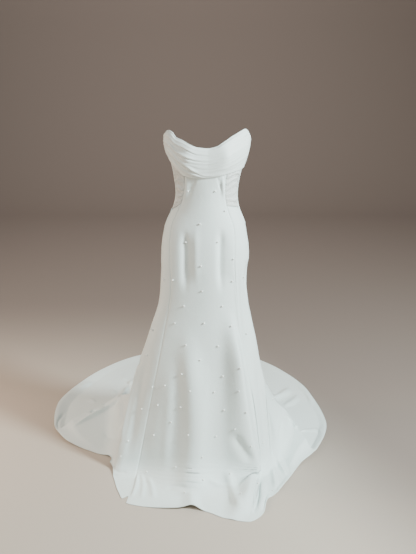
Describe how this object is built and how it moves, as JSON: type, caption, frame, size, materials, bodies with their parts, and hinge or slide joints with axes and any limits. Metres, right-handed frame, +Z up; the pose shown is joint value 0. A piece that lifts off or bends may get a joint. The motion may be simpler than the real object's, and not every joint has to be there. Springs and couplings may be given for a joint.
{
  "type": "wedding dress",
  "caption": "Strapless trumpet wedding dress, hollow as when worn: draped cowl bust, ruched side panels, long smooth skirt and a train spread on the floor.",
  "frame": {"origin": "centre of the waist, where the wearer holds the dress up, 1.115 m above the floor that the train lies on", "axes": "+X to the viewer's right in the picture, +Z up, the front faces -Y and the train runs to +Y"},
  "size_m": [1.2739, 1.595, 1.3904],
  "materials": {
    "crepe": "matte heavy crepe",
    "tulle": "sheer gathered tulle",
    "organza": "soft draped organza over crepe",
    "zip_tape": "woven tape",
    "zip_metal": "white enamel"
  },
  "bodies": {
    "dress": {"front_panel": "crepe", "side_front_left": "crepe", "side_front_right": "crepe", "back_left": "crepe", "back_right": "crepe", "ruched_side_left": "tulle", "ruched_side_right": "tulle", "cowl": "organza", "zip_tape_left": "zip_tape", "zip_tape_right": "zip_tape", "zip_slider": "zip_metal"},
    "zip_pull": {"zip_pull": "zip_metal"}
  },
  "joints": [
    {"name": "zip_pull_hinge", "type": "hinge", "parent": "dress", "child": "zip_pull", "pos_m": [0, 0.09494, 0.129], "axis": [1, 0, 0], "range_deg": [0, 150]}
  ]
}
